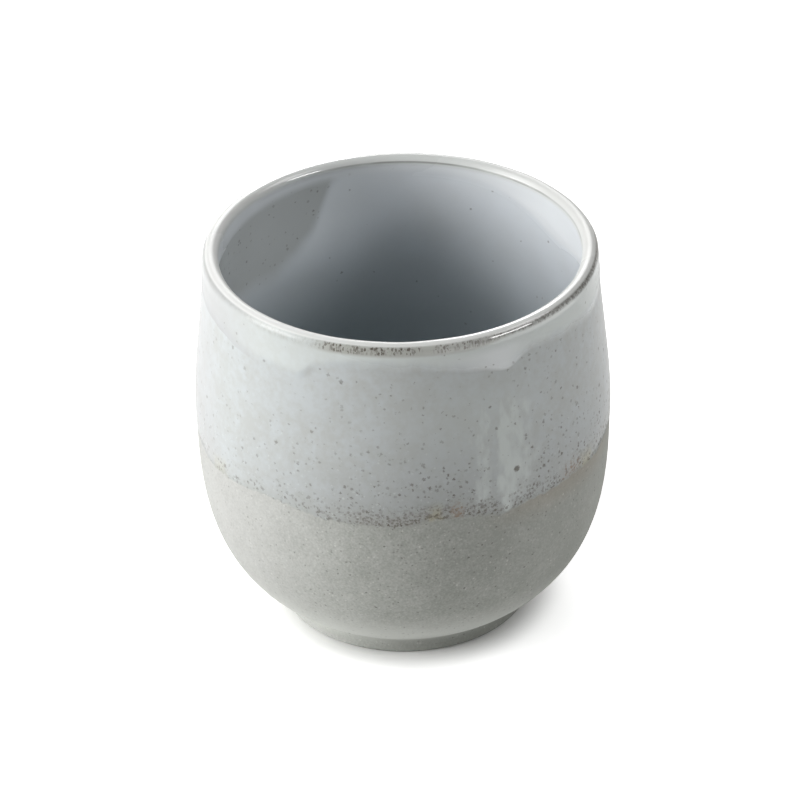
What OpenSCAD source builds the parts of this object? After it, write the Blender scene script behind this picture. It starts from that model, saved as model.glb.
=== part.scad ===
// Handleless stoneware tea cup.
// A thrown clay bowl stands on a foot ring luted under its floor. Glaze is poured into the inside
// and dipped over the outside as far as the belly, and a short last dip laps over the lip.

/* [Clay bowl] */
// Height of the bare clay at the lip, above the table
clay_h = 78.5; // [64:0.5:100]
// Widest diameter of the bare clay
belly_d = 81.8; // [76:0.2:100]
// Height of the widest point above the table
belly_z = 40.7; // [30:0.1:50]
// Outside diameter of the bare clay at the lip
rim_d = 75.8; // [62:0.2:80]
// Lean of the wall at the lip, in degrees from upright
rim_lean = 4; // [0:0.5:12]
// Thickness of the clay at the lip
lip_t = 2.3; // [1.6:0.1:4]
// Thickness of the wall at the belly
wall_t = 3.4; // [2.6:0.1:5]
// Thickness of the floor
floor_t = 4.5; // [3:0.1:8]
// Rise of the wall where it leaves the foot, in degrees from level
base_rise = 31; // [20:1:45]

/* [Curves of the wall] */
// Reach of the base's tangent, as a share of the rise from foot to belly
base_reach = 0.42; // [0.2:0.01:0.6]
// Reach of the belly's tangent downwards, as a share of the same rise
belly_drop = 0.43; // [0.2:0.01:0.6]
// Reach of the belly's tangent upwards, as a share of the rise from belly to lip
belly_lift = 0.36; // [0.2:0.01:0.6]
// Reach of the lip's tangent downwards, as a share of the same rise
rim_reach = 0.36; // [0.2:0.01:0.6]
// Fullness of the bowl inside, as a share of its depth below the belly
bowl_drop = 0.74; // [0.5:0.01:0.85]
// Flatness of the floor inside, as a share of the inside radius
floor_reach = 0.74; // [0.5:0.01:0.85]

/* [Foot ring] */
// Outside diameter of the foot ring
foot_d = 50.4; // [40:0.2:60]
// Width of the ring that stands on the table
foot_w = 4.6; // [3:0.1:8]
// Height of the ring, from the table to its seat under the bowl
foot_h = 3.5; // [2.5:0.1:8]
// Rounding of the ring's two standing edges
foot_edge = 0.8; // [0.3:0.1:1.2]
// Depth of the cove turned into the floor inside the ring
cove = 1.4; // [0.5:0.1:2.5]

/* [Glaze] */
// Thickness of the poured and dipped coat
glaze_t = 0.25; // [0.15:0.05:0.8]
// Height of the dip's lower edge above the table
glaze_line_z = 41.3; // [24:0.1:60]
// Height over which the dip thins out to its lower edge
dip_feather = 6; // [1:0.5:10]
// Thickness of the last coat, over the lip
lap_t = 0.2; // [0.1:0.05:0.6]
// Depth of the last coat below the top of the clay
lap_depth = 6; // [3:0.5:12]
// Height over which the last coat thins out to its lower edges
lap_feather = 2; // [0.5:0.5:4]
// Thickness of every coat at its thinned edge
edge_t = 0.08; // [0.05:0.01:0.15]

/* [Hidden] */
$fn = 128;

clay = "#9c9a97";
glaze = "#bfc5cb";
lip_white = "#d3d6d8";

// Steps along each stretch of the skin, from the middle of the floor to the foot
bowl_steps = 32;
wall_steps = 14;
lap_steps = 8;
lip_steps = 8;
dip_steps = 16;
bare_steps = 28;
edge_steps = 8;

belly_r = belly_d / 2;
inner_r = belly_r - wall_t;
lip_r = lip_t / 2;
lip_c = [rim_d / 2 - lip_r, clay_h - lip_r];
foot_r = foot_d / 2;
foot_in_r = foot_r - foot_w;
under_z = foot_h + cove;
floor_z = under_z + floor_t;
lap_z = clay_h - lap_depth;

// Where the lip's round meets the wall outside and inside, and the way the wall runs up to it
lip_out = lip_c + lip_r * [cos(rim_lean), sin(rim_lean)];
lip_in = lip_c - lip_r * [cos(rim_lean), sin(rim_lean)];
rim_way = [-sin(rim_lean), cos(rim_lean)];

// The four curves of the wall, each climbing from its first point to its last
low_rise = belly_z - foot_h;
out_rise = lip_out[1] - belly_z;
in_rise = lip_in[1] - belly_z;
depth = belly_z - floor_z;
outer_low = [
    [foot_r, foot_h],
    [foot_r, foot_h] + base_reach * low_rise * [cos(base_rise), sin(base_rise)],
    [belly_r, belly_z - belly_drop * low_rise],
    [belly_r, belly_z]
];
outer_high = [
    [belly_r, belly_z],
    [belly_r, belly_z + belly_lift * out_rise],
    lip_out - rim_reach * out_rise * rim_way,
    lip_out
];
inner_low = [
    [0, floor_z],
    [floor_reach * inner_r, floor_z],
    [inner_r, belly_z - bowl_drop * depth],
    [inner_r, belly_z]
];
inner_high = [
    [inner_r, belly_z],
    [inner_r, belly_z + belly_lift * in_rise],
    lip_in - rim_reach * in_rise * rim_way,
    lip_in
];

// Point at share t of a cubic curve
function along(curve, t) =
    pow(1 - t, 3) * curve[0]
    + 3 * t * pow(1 - t, 2) * curve[1]
    + 3 * t * t * (1 - t) * curve[2]
    + pow(t, 3) * curve[3];

// Point of a climbing curve at height z, found by halving
function at_height(curve, z, low = 0, high = 1, tries = 32) =
    let (mid = (low + high) / 2, point = along(curve, mid))
    tries == 0 ? point
    : point[1] < z ? at_height(curve, z, mid, high, tries - 1)
    : at_height(curve, z, low, mid, tries - 1);

function outside(z) = at_height(z < belly_z ? outer_low : outer_high, z);
function inside(z) = at_height(z < belly_z ? inner_low : inner_high, z);

// Point of the lip's round at an angle from level
function on_lip(angle) = lip_c + lip_r * [cos(angle), sin(angle)];

// Value i steps of n on the way from one number to another
function step(from, to, i, n) = from + (to - from) * i / n;

// The clay's skin that meets air or glaze: up the inside, over the lip and down the outside
skin = concat(
    [for (i = [0 : bowl_steps]) along(inner_low, i / bowl_steps)],
    [for (i = [1 : wall_steps]) inside(step(belly_z, lap_z, i, wall_steps))],
    [for (i = [1 : lap_steps]) inside(step(lap_z, lip_in[1], i, lap_steps))],
    [for (i = [1 : lip_steps]) on_lip(step(180 + rim_lean, 90, i, lip_steps))],
    [for (i = [1 : lip_steps]) on_lip(step(90, rim_lean, i, lip_steps))],
    [for (i = [1 : lap_steps]) outside(step(lip_out[1], lap_z, i, lap_steps))],
    [for (i = [1 : dip_steps]) outside(step(lap_z, glaze_line_z, i, dip_steps))],
    [for (i = [1 : bare_steps]) outside(step(glaze_line_z, foot_h, i, bare_steps))]
);

// Places along the skin where a coat starts or ends
lap_inside = bowl_steps + wall_steps;
lip_top = lap_inside + lap_steps + lip_steps;
lap_outside = lip_top + lip_steps + lap_steps;
glaze_line = lap_outside + dip_steps;

// Thickness of a coat at a height above its edge: full above the feather, thin at the edge
function thinned(full, above, feather) =
    edge_t + (full - edge_t) * min(1, max(0, above) / feather);

// Way out of a path at one of its points, square to its neighbours and on its left
function way_out(path, i) =
    let (ahead = path[min(i + 1, len(path) - 1)] - path[max(i - 1, 0)])
    [-ahead[1], ahead[0]] / norm(ahead);

// Point of a path lifted by a thickness, kept off the far side of the axis
function lifted(path, i, thickness) =
    let (point = path[i] + thickness * way_out(path, i))
    [max(0, point[0]), point[1]];

function part_of(path, first, last) = [for (i = [first : last]) path[i]];
function backwards(path) = [for (i = [len(path) - 1 : -1 : 0]) path[i]];

// Faces of the first coat, and of the last coat that laps over it
coat = [
    for (i = [0 : glaze_line])
        lifted(skin, i, i < lap_outside ? glaze_t : thinned(glaze_t, skin[i][1] - glaze_line_z, dip_feather))
];
under_lap = part_of(coat, lap_inside, lap_outside);
lap = [
    for (i = [0 : len(under_lap) - 1])
        lifted(under_lap, i, thinned(lap_t, under_lap[i][1] - lap_z, lap_feather))
];

// Quarter round from one angle to another about a centre
function quarter(centre, radius, from, to) = [
    for (i = [0 : edge_steps])
        centre + radius * [cos(step(from, to, i, edge_steps)), sin(step(from, to, i, edge_steps))]
];

// Solid of revolution between a path and the face lifted off it
module coat_between(path, face) {
    rotate_extrude()
        polygon(concat(path, backwards(face)));
}

module clay_body() {
    color(clay)
        rotate_extrude()
            polygon(concat(
                skin,
                quarter([foot_in_r - cove, foot_h], cove, 0, 90),
                [[0, under_z]]
            ));
}

module foot_ring() {
    color(clay)
        rotate_extrude()
            polygon(concat(
                [[foot_in_r, foot_h], [foot_r, foot_h]],
                quarter([foot_r - foot_edge, foot_edge], foot_edge, 0, -90),
                quarter([foot_in_r + foot_edge, foot_edge], foot_edge, -90, -180)
            ));
}

module liner_glaze() {
    color(glaze)
        coat_between(part_of(skin, 0, lip_top), part_of(coat, 0, lip_top));
}

module dip_glaze() {
    color(glaze)
        coat_between(part_of(skin, lip_top, glaze_line), part_of(coat, lip_top, glaze_line));
}

module lip_glaze() {
    color(lip_white)
        coat_between(under_lap, lap);
}

clay_body();
foot_ring();
liner_glaze();
dip_glaze();
lip_glaze();
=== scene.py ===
# %% [markdown]
# # A stoneware tea cup in Blender
# The real cup is thrown on a wheel as a round bowl, and a short foot ring stands under it. Three coats
# of glaze lie on the clay: one is poured into the inside, the outside is dipped as far as the belly, and
# a last short dip laps over the lip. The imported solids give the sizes. This script lays a finer skin over
# each solid, gives it its colour and its gloss, and sets up the camera and the light.

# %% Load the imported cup
import math

import bpy
import numpy as np
from mathutils import Matrix, Quaternion, Vector


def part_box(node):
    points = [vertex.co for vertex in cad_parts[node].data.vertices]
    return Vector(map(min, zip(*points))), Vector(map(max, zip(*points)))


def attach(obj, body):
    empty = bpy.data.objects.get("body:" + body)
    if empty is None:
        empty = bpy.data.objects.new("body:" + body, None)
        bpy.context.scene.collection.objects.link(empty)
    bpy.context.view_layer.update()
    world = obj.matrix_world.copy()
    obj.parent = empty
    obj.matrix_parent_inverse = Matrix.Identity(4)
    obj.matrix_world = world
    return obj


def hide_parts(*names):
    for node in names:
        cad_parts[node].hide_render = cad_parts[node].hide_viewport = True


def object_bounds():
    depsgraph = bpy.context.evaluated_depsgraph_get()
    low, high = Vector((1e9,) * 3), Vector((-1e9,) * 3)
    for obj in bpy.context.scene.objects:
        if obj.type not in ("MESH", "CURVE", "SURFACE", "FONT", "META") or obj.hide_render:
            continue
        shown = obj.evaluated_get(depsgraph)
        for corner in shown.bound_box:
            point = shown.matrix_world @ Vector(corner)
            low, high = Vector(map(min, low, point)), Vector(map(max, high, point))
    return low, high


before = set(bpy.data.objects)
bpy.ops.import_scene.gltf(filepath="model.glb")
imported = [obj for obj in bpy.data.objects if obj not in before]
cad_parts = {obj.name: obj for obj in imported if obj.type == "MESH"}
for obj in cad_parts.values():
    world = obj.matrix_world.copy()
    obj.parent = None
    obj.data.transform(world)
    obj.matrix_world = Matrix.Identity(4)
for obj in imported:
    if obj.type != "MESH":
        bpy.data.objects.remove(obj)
cad_box = [list(corner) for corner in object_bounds()]
print("solids:", ", ".join(sorted(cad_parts)))
print("packed box in metres:", cad_box)

# %% [markdown]
# ## The camera
# The picture looks down into the mouth at 32 degrees through a long lens, so the lip is an open ellipse
# and the foot still shows. A camera can be placed by eye. Here its numbers come from fitting the outlines
# of the lip, the wall, the foot and the glaze edge, and the whole picture is turned by about one degree.

# %% Stand the camera
camera_rise = math.radians(32.31)
camera_reach = 0.7614
camera_roll = math.radians(-1.139)
cup_middle = Vector((0.0, 0.0, cad_box[1][2] / 2))

camera_data = bpy.data.cameras.new("camera")
camera_data.sensor_width = 36.0
camera_data.lens = 172.5
camera_data.shift_x = -0.0043
camera_data.shift_y = 0.0214
camera = bpy.data.objects.new("camera", camera_data)
bpy.context.collection.objects.link(camera)

backwards = Vector((0.0, -math.cos(camera_rise), math.sin(camera_rise)))
camera_turn = backwards.to_track_quat("Z", "Y") @ Quaternion((0.0, 0.0, 1.0), camera_roll)
camera.matrix_world = Matrix.LocRotScale(cup_middle + camera_reach * backwards, camera_turn, None)
bpy.context.scene.camera = camera
bpy.context.scene.view_settings.view_transform = "Standard"
print("camera at", [round(value, 4) for value in camera.matrix_world.translation])

# %% [markdown]
# ## Shader sums in plain Python
# A finish is a small recipe: so much of this noise, less near the edge, that colour where it is thin.
# Nodes can be wired by hand one at a time. Wrapping a node's output in a class lets the recipe be written
# as sums and products, and each of them adds the Math node that it needs.

# %% A socket that can be added and multiplied
class Socket:
    """One output of a shader node."""

    def __init__(self, tree, output):
        self.tree = tree
        self.output = output

    def node(self, kind, settings, values, output=0):
        """Add a node, make its settings, fill its inputs with values or links, and give one output."""
        made = self.tree.nodes.new(kind)
        for name, value in settings.items():
            setattr(made, name, value)
        for name, value in values.items():
            if isinstance(value, Socket):
                self.tree.links.new(value.output, made.inputs[name])
            else:
                made.inputs[name].default_value = value
        return Socket(self.tree, made.outputs[output])

    def beside(self, name):
        """Another output of the same node."""
        return Socket(self.tree, self.output.node.outputs[name])

    def maths(self, operation, first, second):
        """Add a Math node for two values."""
        return self.node("ShaderNodeMath", {"operation": operation}, {0: first, 1: second})

    def __add__(self, other):
        return self.maths("ADD", self, other)

    def __radd__(self, other):
        return self.maths("ADD", other, self)

    def __sub__(self, other):
        return self.maths("SUBTRACT", self, other)

    def __rsub__(self, other):
        return self.maths("SUBTRACT", other, self)

    def __mul__(self, other):
        return self.maths("MULTIPLY", self, other)

    def __rmul__(self, other):
        return self.maths("MULTIPLY", other, self)

    def __lt__(self, other):
        return self.maths("LESS_THAN", self, other)

    def most(self, other):
        """The larger of two values."""
        return self.maths("MAXIMUM", self, other)

    def swing(self, amount):
        """Noise from 0 to 1 as a swing of an amount about 0."""
        return amount * (self - 0.5)

    def far_from(self, point):
        """Distance of this place from a point."""
        return self.node("ShaderNodeVectorMath", {"operation": "DISTANCE"}, {0: self, 1: point}, "Value")

    def rise(self, low, high):
        """0 at low, 1 at high and a smooth climb between them; it falls where low is above high."""
        settings = {"interpolation_type": "SMOOTHSTEP"}
        return self.node("ShaderNodeMapRange", settings, {"Value": self, "From Min": low, "From Max": high})

    def tint(self, under, over):
        """The colour under this mask where it is 0, and the colour over it where it is 1."""
        settings = {"data_type": "RGBA", "clamp_factor": True}
        return self.node("ShaderNodeMix", settings, {0: self, 6: under, 7: over}, 2)


# %% Colours by their everyday numbers
def paint(red, green, blue):
    """Screen numbers from 0 to 255 as the linear colour that shaders work in."""
    screen = np.array([red, green, blue]) / 255
    linear = np.where(screen > 0.04045, ((screen + 0.055) / 1.055) ** 2.4, screen / 12.92)
    return (*linear.tolist(), 1.0)


print("mid grey in the shader:", round(paint(188, 188, 188)[0], 3))

# %% [markdown]
# ## Floor and light
# The cup stands on a white sweep that fades into a white background, with a short soft shadow at its
# right. Flooding the set with light would burn out the pale glaze, so the lamps stay at a plain level.
# The floor adds a little glow of its own for the camera and for reflections, and it keeps the shadow.
# Far from the cup the glow is full white, so that a low view shows no horizon.

# %% Lay the floor
def seen_directly(start):
    """1 for rays from the camera, from a mirror-like bounce or through glass, and 0 for all others."""
    path = start.node("ShaderNodeLightPath", {}, {}, "Is Camera Ray")
    return path.most(path.beside("Is Glossy Ray")).most(path.beside("Is Transmission Ray"))


WHITE = (1.0, 1.0, 1.0, 1.0)
BLACK = (0.0, 0.0, 0.0, 1.0)
floor_half = 3.0
floor_glow = (0.73, 0.73, 0.73, 1.0)
floor_mesh = bpy.data.meshes.new("floor")
floor_corners = floor_half * np.array([[-1, -1, 0], [1, -1, 0], [1, 1, 0], [-1, 1, 0]])
floor_mesh.from_pydata(floor_corners.tolist(), [], [[0, 1, 2, 3]])
floor = bpy.data.objects.new("floor", floor_mesh)
bpy.context.collection.objects.link(floor)

floor_finish = bpy.data.materials.new("white sweep")
floor_finish.use_nodes = True
floor_tree = floor_finish.node_tree
floor_shader = floor_tree.nodes["Principled BSDF"]
floor_shader.inputs["Base Color"].default_value = paint(243, 243, 242)
floor_shader.inputs["Roughness"].default_value = 0.9
floor_shader.inputs["Specular IOR Level"].default_value = 0.1
floor_shader.inputs["Emission Strength"].default_value = 1.0
floor_at = Socket(floor_tree, floor_tree.nodes.new("ShaderNodeTexCoord").outputs["Object"])
shade_middle = (0.0002, -0.0004, 0.0)
from_cup = floor_at.far_from(shade_middle)
out_of_shade = 0.75 * from_cup.rise(0.0238, 0.0328) + 0.25 * from_cup.rise(0.0270, 0.0390)
floor_seen = seen_directly(floor_at) * out_of_shade
floor_tone = from_cup.rise(0.25, 1.0).tint(floor_glow, WHITE)
floor_light = floor_seen.tint(BLACK, floor_tone)
floor_tree.links.new(floor_light.output, floor_shader.inputs["Emission Color"])
floor_mesh.materials.append(floor_finish)
print("floor is", 2 * floor_half, "m across")

# %% Fill the room with weak light
room_light = 0.03
room = bpy.data.worlds.new("room")
room.use_nodes = True
bpy.context.scene.world = room
room_shader = room.node_tree.nodes["Background"]
room_shader.inputs["Color"].default_value = WHITE
room_seen = seen_directly(Socket(room.node_tree, room_shader.outputs[0]))
room_level = room_light + (1.0 - room_light) * room_seen
room.node_tree.links.new(room_level.output, room_shader.inputs["Strength"])
print("room light", room_light, "of white")

# %% Hang the lamps
lamp_reach = 0.9


def hang_lamp(name, azimuth, elevation, width, height, watts):
    """A soft box on a sphere about the cup, turned to face the cup's middle; degrees, metres and watts."""
    lamp_data = bpy.data.lights.new(name, "AREA")
    lamp_data.shape = "RECTANGLE"
    lamp_data.size = width
    lamp_data.size_y = height
    lamp_data.energy = watts
    lamp = bpy.data.objects.new(name, lamp_data)
    bpy.context.collection.objects.link(lamp)
    around, up = math.radians(azimuth), math.radians(elevation)
    outwards = Vector((math.cos(around) * math.cos(up), math.sin(around) * math.cos(up), math.sin(up)))
    lamp_turn = outwards.to_track_quat("Z", "Y")
    lamp.matrix_world = Matrix.LocRotScale(cup_middle + lamp_reach * outwards, lamp_turn, None)
    print(name, "at", [round(value, 2) for value in lamp.matrix_world.translation])


hang_lamp("window box", 198, 20, 0.40, 0.40, 5.15)
hang_lamp("low window", 186, 8, 0.40, 0.40, 1.6)
hang_lamp("high box", 180, 45, 0.40, 0.40, 3.1)
hang_lamp("back box", 90, 30, 0.40, 0.40, 2.05)
hang_lamp("right box", -27, 27, 0.36, 0.18, 1.5)
hang_lamp("right high box", 0, 48, 0.40, 0.40, 0.95)

# %% [markdown]
# ## Sizes
# Every piece of the cup is turned, so one drawn line gives all of them: the skin of the clay, which runs
# from the middle of the floor up the inside, over the lip and down the outside to the foot. Heights and
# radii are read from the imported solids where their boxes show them. The rest repeat the drawing's values.
# The pulls say how far a curve's handles reach, as shares of its height or width.

# %% Sizes in metres
MM = 0.001
belly_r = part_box("clay_body")[1][0]
clay_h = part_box("clay_body")[1][2]
foot_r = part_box("foot_ring")[1][0]
foot_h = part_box("foot_ring")[1][2]
floor_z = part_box("liner_glaze")[0][2]
belly_z = 40.7 * MM
rim_r = 37.9 * MM
rim_lean = math.radians(4)
lip_r = 1.15 * MM
inner_r = belly_r - 3.4 * MM
foot_w = 4.6 * MM
foot_in_r = foot_r - foot_w
foot_slope = math.radians(31)
foot_edge = 0.8 * MM
cove = 1.4 * MM
glaze_t = 0.25 * MM
lap_t = 0.2 * MM
bowl_pull = 0.74
wall_pull = 0.36
belly_pull = 0.43
foot_pull = 0.42
print("clay in mm: belly", round(2 * belly_r / MM, 2), "height", round(clay_h / MM, 2))


# %% The skin of the clay
def cubic(points, count):
    """Cubic curve: four points weighed by (1-t)^3, 3t(1-t)^2, 3t^2(1-t) and t^3 for t from 0 to 1."""
    t = np.linspace(0, 1, count)[:, None]
    weights = np.hstack([(1 - t) ** 3, 3 * t * (1 - t) ** 2, 3 * t ** 2 * (1 - t), t ** 3])
    return weights @ np.array(points)


lip_centre = np.array([rim_r - lip_r, clay_h - lip_r])
lip_side = lip_r * np.array([math.cos(rim_lean), math.sin(rim_lean)])
lip_out, lip_in = lip_centre + lip_side, lip_centre - lip_side
wall_way = np.array([-math.sin(rim_lean), math.cos(rim_lean)])
base_way = np.array([math.cos(foot_slope), math.sin(foot_slope)])
low_rise = belly_z - foot_h
depth = belly_z - floor_z

foot_point, belly_point = np.array([foot_r, foot_h]), np.array([belly_r, belly_z])
bowl_point = np.array([inner_r, belly_z])
upwards = np.array([0.0, 1.0])
out_rise, in_rise = lip_out[1] - belly_z, lip_in[1] - belly_z
inner_low = [
    [0, floor_z], [bowl_pull * inner_r, floor_z],
    bowl_point - bowl_pull * depth * upwards, bowl_point,
]
inner_high = [
    bowl_point, bowl_point + wall_pull * in_rise * upwards,
    lip_in - wall_pull * in_rise * wall_way, lip_in,
]
outer_high = [
    lip_out, lip_out - wall_pull * out_rise * wall_way,
    belly_point + wall_pull * out_rise * upwards, belly_point,
]
outer_low = [
    belly_point, belly_point - belly_pull * low_rise * upwards,
    foot_point + foot_pull * low_rise * base_way, foot_point,
]
lip_turn = np.linspace(math.pi + rim_lean, rim_lean, 201)[1:-1]
lip_round = lip_centre + lip_r * np.column_stack([np.cos(lip_turn), np.sin(lip_turn)])

skin = np.vstack([
    cubic(inner_low, 600),
    cubic(inner_high, 400)[1:],
    lip_round,
    cubic(outer_high, 400),
    cubic(outer_low, 600)[1:],
])
skin_step = np.gradient(skin, axis=0)
skin_out = np.column_stack([-skin_step[:, 1], skin_step[:, 0]])
skin_out /= np.linalg.norm(skin_out, axis=1)[:, None]
skin_length = np.concatenate([[0.0], np.cumsum(np.linalg.norm(np.diff(skin, axis=0), axis=1))])
lip_top = skin_length[np.argmax(skin[:, 1])]
print("skin in mm:", round(skin_length[-1] / MM, 1), "long, lip top at", round(lip_top / MM, 1))


# %% From the skin to space
def along_outside(height):
    """Length along the skin at which its outside reaches a height."""
    outside = skin_length > lip_top
    return np.interp(-height, -skin[outside, 1], skin_length[outside])


def along_inside(height):
    """Length along the skin at which its inside reaches a height."""
    inside = skin_length < lip_top
    return np.interp(height, skin[inside, 1], skin_length[inside])


def turned(radius, height, theta):
    """Points round the axis: the radius times the angle's cosine and sine, and the height."""
    return np.stack([radius * np.cos(theta), radius * np.sin(theta), height + 0.0 * theta], axis=-1)


def on_skin(length, theta, lift):
    """Points at a length along the skin and an angle about the axis, lifted along the skin's normal."""
    def follow(values):
        return np.interp(length, skin_length, values)

    radius = follow(skin[:, 0]) + lift * follow(skin_out[:, 0])
    height = follow(skin[:, 1]) + lift * follow(skin_out[:, 1])
    return turned(np.maximum(radius, 0.0), height, theta)


def waves(theta, length, seed, most_rounds, shortest, count=24):
    """Gentle unevenness about 0: a sum of cosines with whole numbers of periods round the cup."""
    dice = np.random.default_rng(seed)
    rounds = dice.integers(0, most_rounds + 1, count)
    pitch = dice.uniform(-1, 1, count) * 2 * math.pi / shortest
    phase = dice.uniform(0, 2 * math.pi, count)
    angles = rounds * theta[..., None] + pitch * (length + 0.0 * theta)[..., None] + phase
    return np.cos(angles).sum(axis=-1) / math.sqrt(count / 2)


print("outside at the belly:", round(float(along_outside(belly_z)) / MM, 1), "mm along the skin")

# %% [markdown]
# ## From a grid of points to a piece
# A turned piece is a grid: rows follow the drawn line and columns go round the axis. Blender could spin a
# curve, but then the glaze could not run lower at one place than at another. A full grid of points lets
# every row wander. Each piece is closed: solid pieces end in a pole on the axis at both ends, and rings
# come back to their first row. The map that colours can be baked into is laid out in strips, so
# that a belt that is long and narrow still fills a square picture.

# %% Lay out the baked map
row_margin = 0.01
column_margin = 0.005
hidden_room = 0.1


def lay_map(grid, room, strips):
    """Place on the map of the four corners of each face, strip above strip.

    A strip runs down the rows by their length times their room, and across the columns by their number.
    """
    travel = np.linalg.norm(np.diff(grid, axis=0), axis=-1).mean(axis=1) * room
    down = np.concatenate([[0.0], np.cumsum(travel)]) / travel.sum()
    down = row_margin + (1 - 2 * row_margin) * down
    per_strip = grid.shape[1] // strips
    strip, column = np.divmod(np.arange(grid.shape[1]), per_strip)
    left = column_margin + (1 - 2 * column_margin) * column / per_strip
    right = column_margin + (1 - 2 * column_margin) * (column + 1) / per_strip
    across = np.stack([left, left, right, right], axis=-1)[None] + np.zeros((len(travel), 1, 1))
    fall = np.stack([down[:-1], down[1:], down[1:], down[:-1]], axis=-1)[:, None]
    return np.stack([across, (strip[None, :, None] + fall) / strips], axis=-1)


print("hidden rows get", hidden_room, "of their room on the map")


# %% Close a grid into a mesh
def add_piece(name, node, grid, room, marks, strips, poles):
    """Mesh whose face (i, j) joins row i to row i + 1 and column j to column j + 1.

    Columns close round the axis. With poles the first and last rows are single points, and without
    them the last row closes onto the first. room is each row's share of the baked map, by its length.
    """
    rows, columns = grid.shape[:2]

    def packed(values):
        """Values of the mesh's points in their order, a pole's only once."""
        if not poles:
            return values.reshape(rows * columns, -1)
        middle = values[1:-1].reshape((rows - 2) * columns, -1)
        return np.vstack([values[0, :1].reshape(1, -1), middle, values[-1, :1].reshape(1, -1)])

    points = packed(grid)
    if poles:
        place = np.zeros((rows, columns), int)
        place[1:-1] = 1 + np.arange((rows - 2) * columns).reshape(rows - 2, columns)
        place[-1] = 1 + (rows - 2) * columns
    else:
        place = np.arange(rows * columns).reshape(rows, columns)
        place = np.vstack([place, place[:1]])
        grid = np.vstack([grid, grid[:1]])
    after = np.roll(place, -1, axis=1)
    quads = np.stack([place[:-1], place[1:], after[1:], after[:-1]], axis=-1)
    spread = lay_map(grid, room, strips)

    if poles:
        first, last = [0, 1, 2], [0, 1, 3]
        middle = quads[1:-1].reshape(-1, 4)
        faces = quads[0][:, first].tolist() + middle.tolist() + quads[-1][:, last].tolist()
        corners = [spread[0][:, first], spread[1:-1], spread[-1][:, last]]
        spread = np.vstack([part.reshape(-1, 2) for part in corners])
    else:
        faces = quads.reshape(-1, 4).tolist()

    mesh = bpy.data.meshes.new(name)
    mesh.from_pydata(points.tolist(), [], faces)
    mesh.uv_layers.new(name="OFBake").data.foreach_set("uv", spread.ravel())
    for key, values in marks.items():
        mesh.attributes.new(key, "FLOAT", "POINT").data.foreach_set("value", packed(values).ravel())
    mesh.shade_smooth()
    mesh.set_sharp_from_angle(angle=math.radians(50))
    piece = bpy.data.objects.new(name, mesh)
    bpy.context.collection.objects.link(piece)
    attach(piece, "root")
    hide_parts(node)
    print(name, len(mesh.vertices), "points", len(mesh.polygons), "faces")
    return piece


def round_the_axis(columns):
    """Angles of a number of columns, evenly round the axis."""
    return np.linspace(0, 2 * math.pi, columns, endpoint=False)[None, :]


# %% [markdown]
# ## The clay bowl
# Thrown clay is never quite even: the fingers leave a shallow spiral as they climb, and the drying wall
# swings by a few hundredths of a millimetre. The bowl is the skin itself with that relief, closed
# underneath by the flat seat for the foot ring and the cove turned into the floor.

# %% Throw the bowl
ridge_height, ridge_pitch = 0.006 * MM, 3 * MM
swing_height, swing_length = 0.02 * MM, 24 * MM


def clay_relief(theta, length):
    """Spiral finger ridges and slower swings of the wall, none at the poles.

    A ridge is the cosine of the angle plus one turn for each pitch along the skin.
    """
    ridge = ridge_height * np.cos(theta + 2 * math.pi * length / ridge_pitch)
    swing = swing_height * waves(theta, length, 3, 9, swing_length)
    fade = np.clip(length / (15 * MM), 0, 1) * np.clip((skin_length[-1] - length) / (2 * MM), 0, 1)
    return (ridge + swing) * fade


bowl_theta = round_the_axis(360)
bowl_along = np.linspace(0, skin_length[-1], 220)[:, None]
bowl_skin = on_skin(bowl_along + 0.0 * bowl_theta, bowl_theta, clay_relief(bowl_theta, bowl_along))
cove_turn = np.linspace(0, math.pi / 2, 9)
seat_r = np.concatenate([
    np.linspace(foot_r, foot_in_r, 6)[1:-1],
    foot_in_r - cove + cove * np.cos(cove_turn),
    np.linspace(foot_in_r - cove, 0, 16)[1:],
])[:, None]
seat_z = np.concatenate([
    np.full(4, foot_h),
    foot_h + cove * np.sin(cove_turn),
    np.full(15, foot_h + cove),
])[:, None]
bowl_grid = np.vstack([bowl_skin, turned(seat_r, seat_z, bowl_theta)])
under_glaze = np.argmax(bowl_along[:, 0] > along_outside(43 * MM))
bowl_room = np.where(np.arange(len(bowl_grid) - 1) < under_glaze, hidden_room, 1.0)
clay_bowl = add_piece(
    "clay_bowl", "clay_body", bowl_grid, bowl_room, marks={}, strips=3, poles=True)

# %% [markdown]
# ## The foot ring
# A low collar of clay is luted under the floor with slip and trimmed on the wheel. The slip leaves a soft
# hollow where the ring meets the bowl, and the standing edges are rubbed round so that they do not scratch
# a table. The ring is a closed profile carried round the axis.

# %% Turn the foot ring
def corner_round(centre_r, centre_z, radius, start, end):
    """Quarter of a circle about a centre, from one angle to another."""
    turn = np.linspace(start, end, 10)
    return np.column_stack([centre_r + radius * np.cos(turn), centre_z + radius * np.sin(turn)])


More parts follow.
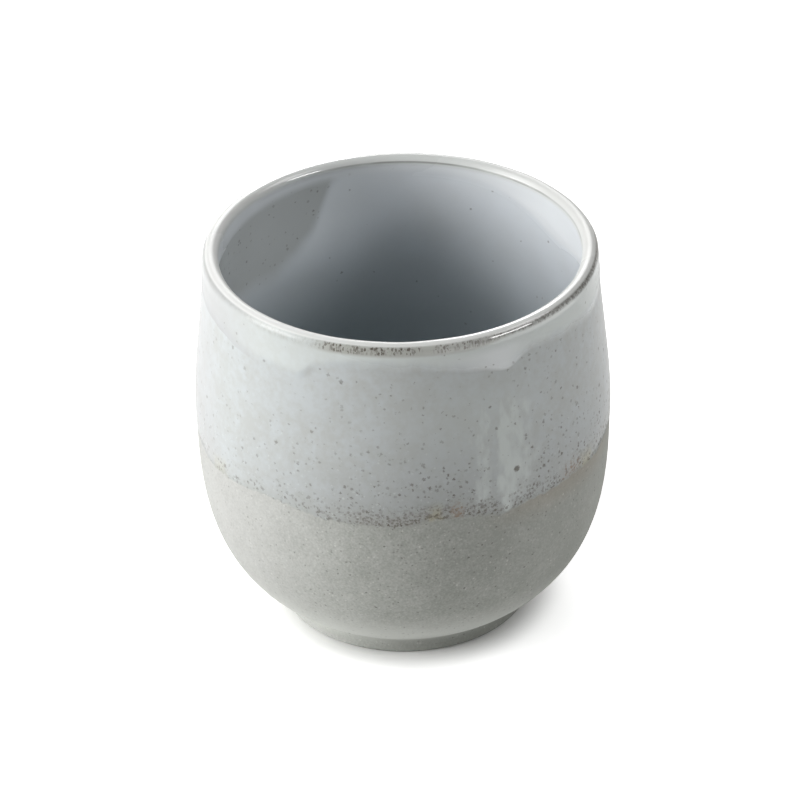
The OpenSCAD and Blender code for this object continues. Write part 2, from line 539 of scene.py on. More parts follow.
slip_reach = 1.5 * MM
slip_from = skin_length[-1] - slip_reach
slip_top = np.array([np.interp(slip_from, skin_length, skin[:, axis]) for axis in (0, 1)])
slip_end = foot_point - slip_reach * upwards
slip_t = np.linspace(0, 1, 12)[:, None]
slip_hollow = (1 - slip_t) ** 2 * slip_top + 2 * slip_t * (1 - slip_t) * foot_point + slip_t ** 2 * slip_end
tucked_in = np.array([-0.05, 0.08]) * MM
under_slip = foot_point + np.array([[0.25], [0.6], [0.9]]) * (slip_top - foot_point) + tucked_in
foot_profile = np.vstack([
    slip_hollow,
    np.column_stack([np.full(4, foot_r), np.linspace(slip_end[1], foot_edge, 6)[1:-1]]),
    corner_round(foot_r - foot_edge, foot_edge, foot_edge, 0, -math.pi / 2),
    np.column_stack([np.linspace(foot_r - foot_edge, foot_in_r + foot_edge, 6)[1:-1], np.zeros(4)]),
    corner_round(foot_in_r + foot_edge, foot_edge, foot_edge, -math.pi / 2, -math.pi),
    np.column_stack([np.full(6, foot_in_r), np.linspace(foot_edge, foot_h, 7)[1:]]),
    np.column_stack([np.linspace(foot_in_r, foot_r, 6)[1:-1], np.full(4, foot_h)]),
    under_slip,
])
foot_theta = round_the_axis(360)
foot_wave = 0.05 * MM * waves(foot_theta, np.zeros_like(foot_theta), 11, 14, 1.0)
foot_lift = np.clip(foot_profile[:, 1:] / foot_h, 0, 1)
foot_radius = foot_profile[:, :1] + foot_wave * foot_lift * (1 - foot_lift) * 4
foot_grid = turned(foot_radius, foot_profile[:, 1:], foot_theta)
foot_room = np.ones(len(foot_grid))
foot_turned = add_piece(
    "foot_turned", "foot_ring", foot_grid, foot_room, marks={}, strips=4, poles=False)

# %% [markdown]
# ## The poured lining
# Glaze is poured into the bowl and swilled round, so it lies evenly and pools a little on the floor. The
# coat is two faces of the same skin: one lifted by the glaze's thickness and one sunk just into the clay.
# On the left a patch of the wall is painted darker as painted shade, and the mesh carries how far each
# point is above the edge of that patch.

# %% Lines round the cup and coats on it
sunk = 0.03 * MM


def round_trip(theta, heights, soft):
    """Heights given at angles in degrees, joined in a closed loop and smoothed over soft degrees."""
    fine = np.arange(0, 360, 0.25)
    angles = np.array(list(heights)) % 360
    order = np.argsort(angles)
    line = np.interp(fine, angles[order], np.array(list(heights.values()))[order], period=360)
    spread = np.exp(-0.5 * (np.minimum(fine, 360 - fine) / soft) ** 2)
    line = np.real(np.fft.ifft(np.fft.fft(line) * np.fft.fft(spread / spread.sum())))
    return np.interp(np.degrees(theta) % 360, fine, line, period=360)


def closed_coat(top, under):
    """A coat's upper face, followed by its under face walked backwards."""
    return np.concatenate([top, under[::-1]])


def both_faces(values, step):
    """Values of a coat's upper face, and those of every few rows for its under face."""
    return closed_coat(values, values[::step])


def coat_room(count, seen):
    """Full room on the map for the rows that are seen, and little for those that lie on the clay."""
    return np.where(np.arange(count) < seen, 1.0, hidden_room)


print("coats reach", sunk / MM, "mm into the clay")

# %% Pour the lining
lining_step = 3
lining_theta = round_the_axis(360)
lining_along = (lip_top * np.linspace(0, 1, 180) ** 0.9)[:, None] + 0.0 * lining_theta
lining_relief = clay_relief(lining_theta, lining_along)
lining_fade = np.clip(lining_along / (15 * MM), 0, 1)
lining_wave = 0.02 * MM * waves(lining_theta, lining_along, 21, 12, 14 * MM) * lining_fade
lining_top = on_skin(lining_along, lining_theta, glaze_t + lining_relief + lining_wave)
lining_under = on_skin(lining_along[::lining_step], lining_theta, lining_relief[::lining_step] - sunk)
lining_grid = closed_coat(lining_top, lining_under)
lining_room = coat_room(len(lining_grid) - 1, len(lining_top))
# Heights of the edge of a patch of painted shade on the left of the lining.
dark_patch_heights = {
    100: 82.0, 112: 76.3, 114.6: 71.0, 118: 64.4, 122: 61.9, 126: 59.6, 130: 58.0, 135: 56.6, 147: 57.0,
    162: 57.5, 178: 59.0, 192: 62.0, 206: 67.0, 220: 73.0, 234: 79.0, 246: 82.0, 300: 82.0,
}
above_dark_patch = lining_grid[..., 2] / MM - round_trip(lining_theta, dark_patch_heights, 2)
below_lip = both_faces(lip_top - lining_along, lining_step) / MM
lining_marks = {"below_lip": below_lip, "above_dark_patch": above_dark_patch}
liner_coat = add_piece(
    "liner_coat", "liner_glaze", lining_grid, lining_room, lining_marks,
    strips=2, poles=True)

# %% [markdown]
# ## The dipped coat
# The cup is held upside down and dipped as far as the belly. Where the slurry drains, the edge is thin and
# wanders by a millimetre or two, and here and there a run hangs lower and thicker. The edge heights are
# given round the cup every few degrees and smoothed, and the coat thins out towards them. The mesh also
# carries where the runs, the stains and the thin and full patches lie, for the finish to use.

# %% Runs and patches of the dip
run_places = {
    -68.6: (3.0, 0.6), -62.2: (1.1, 0.8), -58.8: (2.6, 0.45), -54.5: (4.0, 0.38),
    38.0: (2.4, 0.6), 80.0: (2.0, 0.5), 158.0: (2.6, 0.7),
}
run_top = 30 * MM
run_growth = 9 * MM


def off_by(theta, places):
    """Degrees from each place to an angle, the short way round."""
    return (np.degrees(theta)[..., None] - places + 180) % 360 - 180


def runs(theta, length, end):
    """Drips that grow downwards and sway: a bell across each, with its width in degrees and its strength.

    The wider a drip is, the further above the edge it fades out.
    """
    places = np.array(list(run_places))
    widths, strengths = np.array(list(run_places.values())).T
    above = end - length
    slow_sway = 0.5 * np.cos(length / (1.7 * MM))[..., None]
    quick_sway = 0.35 * np.cos(length[..., None] / (0.75 * MM) + places)
    aside = off_by(theta, places - slow_sway - quick_sway)
    fade = np.clip(above[..., None] / ((2.6 * widths - 2.4) * MM), 0, 1)
    bell = (strengths * fade * np.exp(-0.5 * (aside / widths) ** 2)).sum(axis=-1)
    return np.minimum(bell, 1) * np.clip((run_top - above) / run_growth, 0, 1)


def near_places(theta, places):
    """How near an angle is to any of the places: a sum of bells, each as wide in degrees as it says."""
    aside = off_by(theta, np.array(list(places)))
    return np.exp(-0.5 * (aside / np.array(list(places.values()))) ** 2).sum(axis=-1)


def at_height(grid, middle, width):
    """A bell about a height, with both lengths in millimetres."""
    return np.exp(-0.5 * ((grid[..., 2] / MM - middle) / width) ** 2)


print("runs:", len(run_places), "the highest starts", round(run_top / MM), "mm above the edge")

# %% Dip the outside
dip_heights = {
    -156: 40.2, -140: 41.2, -129: 42.2, -121: 41.6, -112: 40.8, -97: 40.8, -92: 40.2, -87: 41.2, -79: 41.7,
    -70: 41.2, -63: 39.9, -57: 41.1, -43: 41.3, -37: 41.7, -28: 41.0, -14: 41.9, 4: 40.6, 22: 41.5,
    38: 40.5, 51: 41.9, 66: 41.1, 80: 40.3, 96: 41.6, 112: 40.9, 127: 42.0, 141: 41.2, 158: 40.4,
    176: 41.4, 190: 41.0,
}
rust_places = {-76.0: 1.6, -38.5: 3.6, 24.0: 3.0, 121.0: 3.5}
straw_places = {-150.5: 3.5, -82.0: 2.0, -31.0: 3.0, 66.0: 1.8, 148.0: 2.2}
thin_places = {-84.0: 12.0, 12.0: 14.0, 98.0: 11.0, 176.0: 10.0}
full_places = {-68.0: 14.0, 60.0: 11.0, 150.0: 13.0}
dip_step = 4
dip_edge_t = 0.03 * MM
dip_thin_out = 6 * MM
dip_theta = round_the_axis(720)
dip_wander = 0.12 * waves(dip_theta, 0.0 * dip_theta, 31, 150, 1.0)
dip_end = along_outside(MM * (round_trip(dip_theta, dip_heights, 1.5) + dip_wander))
dip_share = 1 - (1 - np.linspace(0, 1, 80)[:, None]) ** 1.5
dip_along = lip_top + dip_share * (dip_end - lip_top)
dip_above = dip_end - dip_along
dip_runs = runs(dip_theta + 0.0 * dip_along, dip_along, dip_end)
dip_thin = np.clip(dip_above / dip_thin_out, 0, 1) ** 0.7
dip_thick = dip_edge_t + (glaze_t - dip_edge_t) * dip_thin
dip_wave = 0.018 * MM * waves(dip_theta, dip_along, 33, 16, 11 * MM) * dip_thin
dip_relief = clay_relief(dip_theta, dip_along)
dip_top = on_skin(dip_along, dip_theta, dip_relief + dip_thick + dip_wave)
dip_under = on_skin(dip_along[::dip_step], dip_theta, dip_relief[::dip_step] - sunk)
dip_grid = closed_coat(dip_top, dip_under)
dip_room = coat_room(len(dip_grid), len(dip_top))
every_row = np.zeros((len(dip_grid), 1))
dip_marks = {
    "above_edge": both_faces(dip_above, dip_step) / MM,
    "run": both_faces(dip_runs, dip_step),
    "rust": near_places(dip_theta, rust_places) + every_row,
    "straw": near_places(dip_theta, straw_places) + every_row,
    "thin": near_places(dip_theta, thin_places) * at_height(dip_grid, 49, 9),
    "full": near_places(dip_theta, full_places) * at_height(dip_grid, 63, 6.5),
}
dip_coat = add_piece(
    "dip_coat", "dip_glaze", dip_grid, dip_room, dip_marks, strips=3, poles=False)

# %% [markdown]
# ## The coat over the lip
# A last quick dip laps a few millimetres over both sides of the lip and lies on the coats below it. Its
# lower edges wander and melt into them, so it thins out to almost nothing there. Here and there a drop
# hangs from the edge, and the mesh carries where.

# %% Dip the lip
lap_heights = {
    -142: 69.8, -130: 69.2, -119: 68.8, -115: 72.4, -103: 73.3, -90: 73.5, -79: 73.1, -71: 71.6, -66: 71.4,
    -63: 70.4, -59: 70.1, -56: 71.6, -53: 72.3, -47: 72.5, -40: 71.8, -32: 71.4, -22: 70.6, -5: 71.6,
    20: 72.6, 45: 71.2, 70: 72.8, 95: 71.6, 120: 72.9, 150: 71.3, 180: 72.2, 205: 71.2,
}
# On the inside the lap's edge dips lowest at the right, from about 0 to 41 degrees, so that its pale coat
# paints a sheen there.
lap_and_sheen_heights_inside = {
    -170: 72.2, -130: 72.8, -80: 73.4, -40: 73.6, 0: 71.5, 8: 69.8, 17: 68.0, 26: 67.3, 34: 68.0, 41: 70.0,
    49: 72.3, 63: 74.0, 76: 74.6, 106: 74.6, 128: 74.2, 141: 73.6, 152: 73.1, 165: 71.9,
}
drop_places = {-66.0: 8.0, -61.0: 4.5, 22.0: 7.0, 128.0: 8.0}
lip_step = 3
lap_edge_t = 0.01 * MM
lap_thin_inside, lap_thin_outside = 4 * MM, 2.5 * MM
lip_theta = round_the_axis(720)
lap_wander = 0.10 * waves(lip_theta, 0.0 * lip_theta, 41, 34, 1.0)
lap_start = along_inside(MM * (round_trip(lip_theta, lap_and_sheen_heights_inside, 3) + 0.5 * lap_wander))
lap_end = along_outside(MM * (round_trip(lip_theta, lap_heights, 2) + lap_wander))
lip_along = lap_start + np.linspace(0, 1, 90)[:, None] * (lap_end - lap_start)
from_start, from_end = lip_along - lap_start, lap_end - lip_along
lap_thin = np.clip(np.minimum(from_start / lap_thin_inside, from_end / lap_thin_outside), 0, 1)
lap_thin = lap_thin ** 2 * (3 - 2 * lap_thin)
lap_thick = lap_edge_t + (lap_t - lap_edge_t) * lap_thin
lap_wave = 0.015 * MM * waves(lip_theta, lip_along, 43, 20, 9 * MM) * lap_thin
lip_relief = clay_relief(lip_theta, lip_along)
lip_face = on_skin(lip_along, lip_theta, glaze_t + lip_relief + lap_thick + lap_wave)
lip_under = on_skin(lip_along[::lip_step], lip_theta, glaze_t + lip_relief[::lip_step] - 2 * sunk)
lip_grid = closed_coat(lip_face, lip_under)
lip_room = coat_room(len(lip_grid), len(lip_face))
lip_marks = {
    "past_top": both_faces(lip_along - lip_top, lip_step) / MM,
    "in_from_edge": both_faces(np.minimum(from_start, from_end), lip_step) / MM,
    "drop": near_places(lip_theta, drop_places) + np.zeros((len(lip_grid), 1)),
    "above_dark_patch": lip_grid[..., 2] / MM - round_trip(lip_theta, dark_patch_heights, 2),
}
lip_coat = add_piece(
    "lip_coat", "lip_glaze", lip_grid, lip_room, lip_marks, strips=4, poles=False)

# %% [markdown]
# ## Helpers for the finishes
# Fired clay and glaze are full of small things: grains of sand, iron that bled through as specks, cloudy
# patches where the coat lies thicker. All of them are noise in space, read at the point of the surface in
# millimetres, so the pattern passes from one piece to the next without a seam.

# %% Noise, specks and shaders
def new_finish(name):
    """A new material, and the place on the cup in millimetres."""
    finish = bpy.data.materials.new(name)
    finish.use_nodes = True
    tree = finish.node_tree
    metres = Socket(tree, tree.nodes.new("ShaderNodeTexCoord").outputs["Object"])
    scaled = {"Vector": metres, "Scale": 1.0 / MM}
    return finish, metres.node("ShaderNodeVectorMath", {"operation": "SCALE"}, scaled)


def cloud(place, size, detail=2.0):
    """Soft noise between 0 and 1 with patches of about a size in millimetres."""
    values = {"Vector": place, "Scale": 1.0 / size, "Detail": detail, "Roughness": 0.55}
    return place.node("ShaderNodeTexNoise", {"noise_dimensions": "3D"}, values)


def stretched(place, across, along):
    """The same place with lengths across and along the axis scaled, for streaks that run down."""
    values = {"Vector": place, 1: (across, across, along)}
    return place.node("ShaderNodeVectorMath", {"operation": "MULTIPLY"}, values)


def ragged(place, size, push):
    """The same place pushed about by soft noise, so that round marks get ragged outlines."""
    noise_values = {"Vector": place, "Scale": 1.0 / size, "Detail": 1.0}
    shove = place.node("ShaderNodeTexNoise", {}, noise_values, "Color")
    centred = place.node("ShaderNodeVectorMath", {"operation": "SUBTRACT"}, {0: shove, 1: (0.5, 0.5, 0.5)})
    values = {0: centred, 1: (2 * push, 2 * push, 2 * push), 2: place}
    return place.node("ShaderNodeVectorMath", {"operation": "MULTIPLY_ADD"}, values)


def specks(place, spacing, size, share):
    """Specks up to a size across on a share of the points of a random lattice, some darker than others."""
    near = place.node("ShaderNodeTexVoronoi", {"feature": "F1"}, {"Vector": place, "Scale": 1.0 / spacing})
    luck = near.node("ShaderNodeSeparateColor", {}, {"Color": near.beside("Color")}, "Red")
    reach = (0.45 + 0.55 * luck.beside("Green")) * (0.5 * size / spacing)
    inside = (reach - near).rise(-0.06, 0.12)
    return inside * (luck < share) * (0.4 + 0.6 * luck.beside("Blue"))


def towards(place, degrees):
    """How far a place lies from the axis in a direction, in millimetres."""
    way = (math.cos(math.radians(degrees)), math.sin(math.radians(degrees)), 0.0)
    return place.node("ShaderNodeVectorMath", {"operation": "DOT_PRODUCT"}, {0: place, 1: way}, "Value")


def mark(place, name):
    """A number that the mesh carries at each of its points."""
    return place.node("ShaderNodeAttribute", {"attribute_name": name}, {}, "Fac")


def dress(pieces, finish, colour, roughness, height, depth_mm, gloss):
    """Wire colour, roughness and relief into the finish's shader, and put it on the pieces."""
    tree = finish.node_tree
    shader = tree.nodes["Principled BSDF"]
    tree.links.new(colour.output, shader.inputs["Base Color"])
    tree.links.new(roughness.output, shader.inputs["Roughness"])
    bump_values = {"Strength": 1.0, "Distance": depth_mm * MM, "Height": height}
    bump = height.node("ShaderNodeBump", {}, bump_values)
    tree.links.new(bump.output, shader.inputs["Normal"])
    for name, value in gloss.items():
        if isinstance(value, Socket):
            tree.links.new(value.output, shader.inputs[name])
        else:
            shader.inputs[name].default_value = value
    for piece in pieces:
        piece.data.materials.append(finish)
    print(finish.name, "has", len(tree.nodes), "nodes")


# %% [markdown]
# ## Bare stoneware
# The lower half and the foot are unglazed grey clay. Close up it is a dense mix of pale and dark grains of
# a few tenths of a millimetre, faintly cloudy, and quite matt. Three noises of different size mix a pale
# and a dark grey, and two sorts of specks add the grains that stand out. The part trimmed above the foot
# is smoother, and it is also painted paler as painted light bounced up from the floor. The clay is painted
# lighter towards the lit left and at the right edge, and the foot is painted darker at the front and right
# as painted shade. The clay beside the glaze has a warm brown flash at the right.

# %% Finish of the clay
CLAY_PALE = paint(193, 195, 190)
CLAY_DARK = paint(159, 161, 155)
CLAY_BOUNCE_LIT = paint(212, 214, 209)
CLAY_FLASH = paint(172, 158, 142)
CLAY_FOOT_SHADE = paint(148, 150, 144)
CLAY_LIT = paint(188, 187, 186)
GRAIN_PALE = paint(224, 225, 219)
GRAIN_DARK = paint(98, 97, 91)

clay_finish, at = new_finish("bare stoneware")
grit = cloud(at, 0.45, 3.0)
mottle = cloud(at, 1.3)
patches = cloud(at, 7.0)
# Painted light: the clay is mixed paler towards the lit left, and the foot's painted shade fades out there.
painted_light_left = towards(at, 180).rise(-42.0, 42.0)
up_the_wall = at.node("ShaderNodeSeparateXYZ", {}, {"Vector": at}, "Z")
trimmed_and_bounce_lit = up_the_wall.rise(19.0, 7.0) * up_the_wall.rise(1.5, 4.0)
lit_side = towards(at, 180).rise(5.0, 40.0)
dim_side = towards(at, -15).rise(18.0, 40.0)
clay_mix = grit.swing(1.8 - 0.4 * dim_side) + mottle.swing(0.8)
clay_mix = clay_mix + patches.swing(0.8) + painted_light_left.swing(0.6) + 0.43
clay_colour = clay_mix.tint(CLAY_DARK, CLAY_PALE)
clay_colour = (0.5 * lit_side).tint(clay_colour, CLAY_LIT)
# Painted light: the right side is painted paler with weaker grain, and the right edge gets a painted rim
# light.
clay_colour = (0.22 * dim_side).tint(clay_colour, CLAY_PALE)
clay_colour = (0.28 * towards(at, 0).rise(32.0, 41.0)).tint(clay_colour, GRAIN_PALE)
# Painted light: the band above the foot is painted paler for light bounced up from the floor; it also has
# less grain and relief.
clay_colour = (0.95 * trimmed_and_bounce_lit).tint(clay_colour, CLAY_BOUNCE_LIT)
flash = up_the_wall.rise(35.0, 41.5) * towards(at, -38).rise(34.0, 41.0)
clay_colour = (0.35 * flash).tint(clay_colour, CLAY_FLASH)
on_foot = up_the_wall.rise(4.4, 3.0)
# Painted shade: the foot is painted darker at the front and right, and paler at the lit left as painted
# light.
clay_colour = (on_foot * (0.8 - 0.8 * painted_light_left)).tint(clay_colour, CLAY_FOOT_SHADE)
clay_colour = (0.3 * on_foot * towards(at, 180).rise(6.0, 18.0)).tint(clay_colour, CLAY_BOUNCE_LIT)
fine_grains = ragged(at, 0.3, 0.16)
pale_grains = specks(fine_grains, 0.80, 0.50, 0.42)
dark_grains = specks(stretched(fine_grains, 1.0, 1.07), 0.90, 0.54, 0.42)
grain_show = (1.0 - 0.5 * trimmed_and_bounce_lit) * (1.0 - 0.5 * lit_side) * (1.0 - 0.2 * dim_side)
clay_colour = (0.5 * pale_grains * grain_show).tint(clay_colour, GRAIN_PALE)
clay_colour = (0.7 * dark_grains * grain_show).tint(clay_colour, GRAIN_DARK)
clay_rough = 0.82 + 0.12 * grit
clay_height = (grit + 0.4 * pale_grains - 0.4 * dark_grains) * (1.0 - 0.6 * trimmed_and_bounce_lit)
clay_gloss = {"Specular IOR Level": 0.3}
dress([clay_bowl, foot_turned], clay_finish, clay_colour, clay_rough, clay_height, 0.05, clay_gloss)

# %% [markdown]
# ## Dipped glaze
# The glaze is a satin blue-grey where it lies thick and a warmer grey where it is thin. Iron in the clay
# bleeds through as brown specks, few near the lip and crowded along the thin lower edge, where there are
# also rusty and straw-coloured stains. Runs are thick, so they are paler and hide most of the specks.

# %% Finish of the dip
GLAZE_THICK = paint(189, 194, 195)
GLAZE_THIN = paint(181, 184, 182)
GLAZE_RUN = paint(207, 213, 210)
GLAZE_LOW = paint(160, 163, 162)
GLAZE_EDGE = paint(157, 157, 151)
GLAZE_LEFT_SHADE = paint(166, 164, 165)
IRON = paint(78, 67, 55)
RUST = paint(136, 106, 76)
STRAW = paint(178, 172, 142)


def glaze_body(place):
    """Cloudy mix of the thick and the thin glaze, with faint streaks that run down."""
    patches = cloud(place, 9.0, 3.0)
    streaks = cloud(stretched(place, 1.0, 0.15), 3.5)
    dapples = cloud(place, 1.1, 3.0)
    blots = cloud(place, 2.6, 3.0)
    mix = patches.swing(2.0) + streaks.swing(0.5) + blots.swing(2.0) + dapples.swing(2.0) + 0.5
    return mix.tint(GLAZE_THIN, GLAZE_THICK)


dip_finish, at = new_finish("dipped glaze")
above = mark(at, "above_edge")
wander = cloud(at, 2.2, 3.0)
run_here = mark(at, "run")
run_noise = cloud(stretched(at, 1.0, 0.45), 1.8, 4.0)
run = (run_here + run_noise.swing(1.7)).rise(0.05, 1.1) * run_here.rise(0.0, 0.5)
few_here = 1.0 - 0.8 * run
# Painted light: towards the lit left the dark band near the edge, the specks, the straw and the bare clay
# are all weaker, so that side reads lighter and plainer.
painted_washout_left = towards(at, 195).rise(0.0, 38.0)
right_side = towards(at, -30).rise(18.0, 38.0)
low_down = (above + wander.swing(6.0)).rise(18.0, 2.0) * few_here
low_down = low_down * (1.0 - 0.8 * painted_washout_left) * (1.0 - 0.5 * right_side)
dip_colour = glaze_body(at)
dip_colour = (0.9 * low_down).most(0.42 * mark(at, "thin")).tint(dip_colour, GLAZE_LOW)
dip_colour = (0.95 * run).most(0.42 * mark(at, "full")).tint(dip_colour, GLAZE_RUN)
# Painted shade: the glaze is painted darker along the far left edge.
dip_colour = (0.5 * towards(at, 180).rise(33.0, 41.0)).tint(dip_colour, GLAZE_LEFT_SHADE)
edge_band = (above + wander.swing(4.0)).rise(5.0, 0.8)
edge_band = edge_band * (1.0 - 0.85 * painted_washout_left) * (1.0 - 0.75 * right_side)
dip_colour = (0.85 * edge_band * few_here).tint(dip_colour, GLAZE_EDGE)
print("glaze without its iron:", len(dip_finish.node_tree.nodes), "nodes")

# %% Iron in the dip
blotches = cloud(at, 1.1)
straw = (mark(at, "straw") + blotches.swing(1.2)).rise(0.35, 0.95) * above.rise(4.8, 1.2)
dip_colour = (0.5 * straw * (1.0 - 0.5 * painted_washout_left)).tint(dip_colour, STRAW)
crowd = above.rise(26.0, 1.0)
crowd = crowd * crowd
showing = few_here * (1.0 - 0.82 * painted_washout_left) * (1.0 - 0.5 * right_side)
bleed = 1.0 - 0.35 * painted_washout_left
loose = ragged(at, 0.30, 0.34)
fine_specks = specks(loose, 0.72, 0.68, 0.12 * few_here * bleed + 0.46 * crowd * showing)
iron_specks = specks(loose, 1.15, 0.90, 0.07 * few_here * bleed + 0.44 * crowd * showing)
edge_share = 0.95 * showing + 0.15 * right_side * few_here
edge_grains = specks(ragged(at, 0.26, 0.30), 0.58, 0.86, edge_share) * above.rise(5.5, 1.5)
pale_flecks = specks(stretched(loose, 1.0, 1.1), 0.70, 0.50, 0.5 * crowd)
dip_colour = (0.5 * pale_flecks).tint(dip_colour, GLAZE_RUN)
dip_colour = ((0.50 + 0.22 * crowd) * fine_specks * bleed).tint(dip_colour, IRON)
dip_colour = ((0.72 + 0.15 * crowd) * iron_specks * bleed).tint(dip_colour, IRON)
rusty = (mark(at, "rust") + blotches.swing(0.9)).rise(0.25, 0.9)
dip_colour = (0.18 * rusty * above.rise(3.8, 1.0)).tint(dip_colour, RUST)
dip_colour = (0.75 * edge_grains * bleed).tint(dip_colour, (0.85 * rusty).tint(IRON, RUST))
print("glaze with its iron:", len(dip_finish.node_tree.nodes), "nodes")

# %% The large spot, the bare edge and the gloss of the dip
spot_turn = math.radians(-58.6)
spot_r, spot_z = belly_r / MM, 49.5
spot = (spot_r * math.cos(spot_turn), spot_r * math.sin(spot_turn), spot_z)
big_spot = ragged(at, 0.5, 0.25).far_from(spot).rise(0.80, 0.40)
dip_colour = (0.8 * big_spot).tint(dip_colour, IRON)
bare = (above + wander.swing(1.2)).rise(0.6, 0.0)
bare_clay = (0.5 + cloud(at, 0.6, 3.0).swing(1.9)).tint(CLAY_DARK, CLAY_PALE)
dip_colour = (0.7 * bare * (1.0 - 0.5 * painted_washout_left)).tint(dip_colour, bare_clay)
dip_rough = 0.36 + wander.swing(0.10) + 0.45 * above.rise(1.6, 0.2)
dip_height = cloud(at, 1.6) + 0.35 * cloud(at, 0.5) + 0.5 * iron_specks
dip_gloss = {"IOR": 1.5, "Specular IOR Level": 0.4}
dress([dip_coat], dip_finish, dip_colour, dip_rough, dip_height, 0.012, dip_gloss)

# %% [markdown]
# ## Poured glaze inside
# The lining is the same glaze, swilled round and thicker, so it is bluer, shinier and has few specks. It is
# painted darker deeper in the bowl as painted shade. On the left a patch is painted darker as painted
# shade, with more iron specks showing, and a strip beside it is painted lighter as a painted reflection of
# the lit far wall.

# %% Finish of the lining
LINING_COOL = paint(221, 226, 231)
LINING_WARM = paint(215, 219, 222)
LINING_PATCH_SHADE = paint(193, 195, 192)
LINING_DEPTH_SHADE = paint(155, 164, 168)
LINING_REFLECTION = paint(241, 245, 248)


def lining_body(place, below, above_dark_patch):
    """Cloudy glaze, painted darker with depth as painted shade, with a patch of painted shade and a painted
    reflection along its edge.
    """
    pool = cloud(place, 11.0, 3.0)
    colour = (pool.swing(2.0) + 0.5).tint(LINING_WARM, LINING_COOL)
    # Painted shade: the lining is painted darker deeper in the bowl, less on the lit right.
    shaded = 1.0 - 0.3 * towards(place, 30).rise(10.0, 32.0)
    colour = (below.rise(10.0, 46.0) * shaded).tint(colour, LINING_DEPTH_SHADE)
    # Painted shade: above the patch line the wall is painted darker, with more iron specks showing.
    thin = (above_dark_patch + cloud(place, 4.0).swing(1.6)).rise(-3.0, 3.2)
    colour = (0.72 * thin).tint(colour, LINING_PATCH_SHADE)
    # Painted reflection: a strip beside the patch is painted lighter, as the lit far wall mirrored.
    reflection_side = 0.3 + 0.7 * towards(place, 150).rise(15.0, 27.0)
    beside = above_dark_patch.rise(-26.0, -3.0) * (1.0 - thin) * below.rise(27.0, 12.0) * reflection_side
    colour = (0.9 * beside).tint(colour, LINING_REFLECTION)
    iron = specks(ragged(place, 0.4, 0.22), 1.1, 0.75, 0.03 + 0.30 * thin)
    return (0.5 * iron).tint(colour, IRON)


liner_finish, at = new_finish("poured glaze")
liner_colour = lining_body(at, mark(at, "below_lip"), mark(at, "above_dark_patch"))
liner_rough = 0.14 + cloud(at, 11.0, 3.0).swing(0.06)
dress([liner_coat], liner_finish, liner_colour, liner_rough, cloud(at, 3.0), 0.010, {"IOR": 1.5})

# %% [markdown]
# ## Glaze over the lip
# The double coat at the lip is paler and shinier. It pulls away from the sharpest turn of the rim, so iron
# shows there as a thin broken brown line, stronger at the outside, and the thin lower edges take the
# colour of the coat below. It is shiniest at the near right and at the far left, so the distance across
# is squared there to serve both.

# %% Finish of the lip
LAP = paint(210, 216, 213)
LAP_COOL = paint(192, 200, 204)
LAP_INSIDE_AND_SHEEN = paint(238, 241, 243)
LAP_TOP_LIT = paint(225, 226, 223)
LAP_BACK = paint(204, 207, 205)
LAP_LIT = paint(238, 239, 237)
LIP_BREAK = paint(158, 157, 148)
LIP_LINE = paint(126, 125, 121)
LIP_OLIVE = paint(82, 79, 69)
LIP_DAB = paint(84, 77, 67)

lip_finish, at = new_finish("lip glaze")
past = mark(at, "past_top")
in_from_edge = mark(at, "in_from_edge")
patchy = cloud(at, 9.0, 1.0)
lap_cover = (in_from_edge + cloud(at, 3.0).swing(1.8)).rise(0.0, 3.0)
cool_edge = in_from_edge.rise(3.2, 1.0) * patchy.rise(0.40, 0.60)
lap_strength = 0.9 - 0.5 * towards(at, 195).rise(0.0, 36.0)
lip_colour = (lap_strength * lap_cover).tint(glaze_body(at), (0.8 * cool_edge).tint(LAP, LAP_COOL))
hanging = mark(at, "drop") * past.rise(2.0, 4.5) * in_from_edge.rise(0.0, 1.4)
lip_colour = (0.36 * hanging).tint(lip_colour, LAP_INSIDE_AND_SHEEN)
# Painted shade: the lip's coat is painted darker along the far left edge.
lip_colour = (0.55 * towards(at, 180).rise(24.0, 37.0)).tint(lip_colour, GLAZE_LEFT_SHADE)
lining_below = lining_body(at, 0.0 - past, mark(at, "above_dark_patch"))
# The pale inside of the lap is also a painted sheen where it reaches lowest at the right.
lip_inside = in_from_edge.rise(0.0, 2.4).tint(lining_below, LAP_INSIDE_AND_SHEEN)
lip_colour = past.rise(-1.4, -1.9).tint(lip_colour, lip_inside)
# Painted light: the lip's top is painted whiter, less at the back and most on the lit left.
lip_top_light = (0.8 * towards(at, 95).rise(20.0, 36.0)).tint(LAP_TOP_LIT, LAP_BACK)
lip_top_light = (0.6 * towards(at, 195).rise(10.0, 36.0)).tint(lip_top_light, LAP_LIT)
white_end = past - 0.9 * towards(at, 80).rise(-4.0, 14.0)
lip_colour = (past.rise(-2.4, -1.0) * white_end.rise(0.97, 0.62)).tint(lip_colour, lip_top_light)
print("lip without its iron:", len(lip_finish.node_tree.nodes), "nodes")

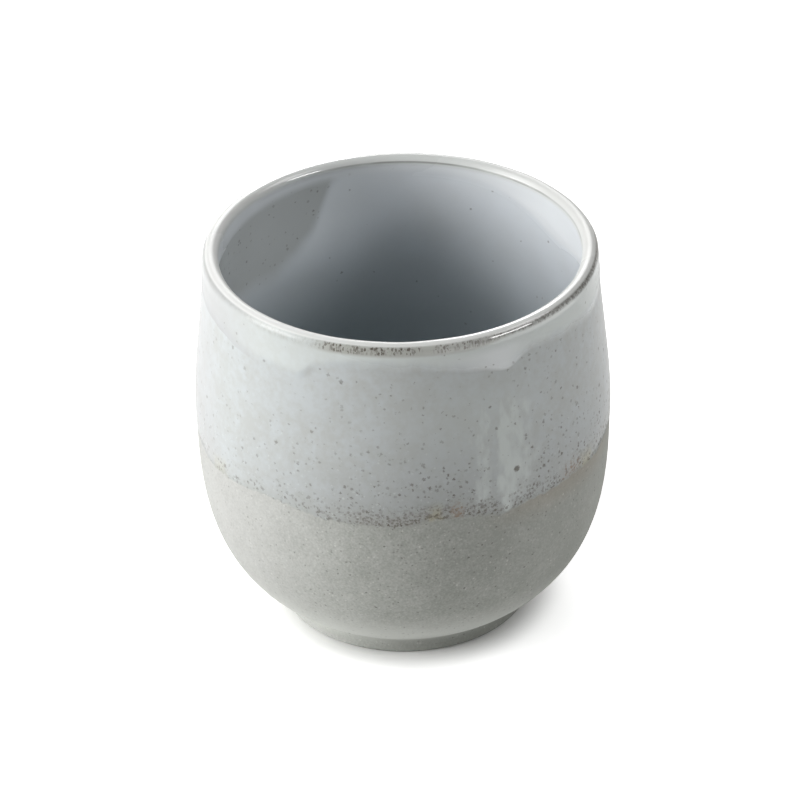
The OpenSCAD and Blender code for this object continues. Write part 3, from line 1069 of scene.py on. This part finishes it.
# %% Broken iron line along the lip
front_right = towards(at, -45).rise(11.5, 16.5)
back_right = towards(at, 60).rise(14.0, 28.0)
front = towards(at, -100).rise(27.0, 34.0)
outer_turn = past.rise(0.62, 0.97) * (past - front).rise(1.85, 0.95)
lip_colour = (outer_turn * (0.14 + 0.58 * front_right)).tint(lip_colour, LIP_BREAK)
inner_turn = past.rise(-1.2, -1.34) * past.rise(-1.62, -1.46)
inner_line = inner_turn * back_right * (0.4 + 0.6 * patchy.rise(0.3, 0.6))
lip_colour = (0.7 * inner_line).tint(lip_colour, LIP_LINE)
dab_place = stretched(ragged(at, 0.3, 0.2), 1.0, 0.42)
dabbed = cloud(at, 4.0, 1.0).rise(0.30, 0.52).most(towards(at, -54).rise(34.6, 36.2))
dabs = specks(dab_place, 0.44, 0.58, 0.95 * dabbed)
dab_row = past.rise(0.68, 1.0) * (past - 0.8 * front).rise(1.55, 0.9)
smears = cloud(stretched(at, 1.0, 0.3), 0.55, 3.0).rise(0.46, 0.66) * dabbed
dabs = (1.05 * dabs).most(0.55 * smears)
lip_colour = (dabs * dab_row * (0.15 + 0.85 * front_right)).tint(lip_colour, LIP_DAB)
far_right = towards(at, -25).rise(30.0, 34.0)
olive_noise = 0.6 + cloud(at, 0.6, 3.0).swing(3.0)
olive_line = past.rise(0.65, 0.95) * past.rise(1.8, 1.3) * far_right * olive_noise
lip_colour = (0.95 * olive_line).tint(lip_colour, LIP_OLIVE)
lip_specks = specks(ragged(at, 0.35, 0.16), 1.3, 0.8, 0.10)
lip_colour = (0.6 * lip_specks * past.rise(1.0, 3.0)).tint(lip_colour, IRON)

# %% Gloss of the lip
across_front = towards(at, -57)
at_highlight = across_front * across_front
lip_rough = 0.32 - 0.21 * at_highlight.rise(450.0, 1000.0) + 0.10 * (1.0 - lap_cover)
lip_rough = lip_rough + cloud(at, 2.2).swing(0.05) + 0.10 * past.rise(2.5, 4.0)
on_top = past.rise(2.6, 2.0) * past.rise(-2.8, -2.2)
lip_coat_weight = at_highlight.rise(1050.0, 1300.0) * on_top
lip_gloss = {"IOR": 1.5, "Coat Weight": lip_coat_weight, "Coat Roughness": 0.06, "Coat IOR": 1.7}
dress([lip_coat], lip_finish, lip_colour, lip_rough, cloud(at, 2.0), 0.010, lip_gloss)
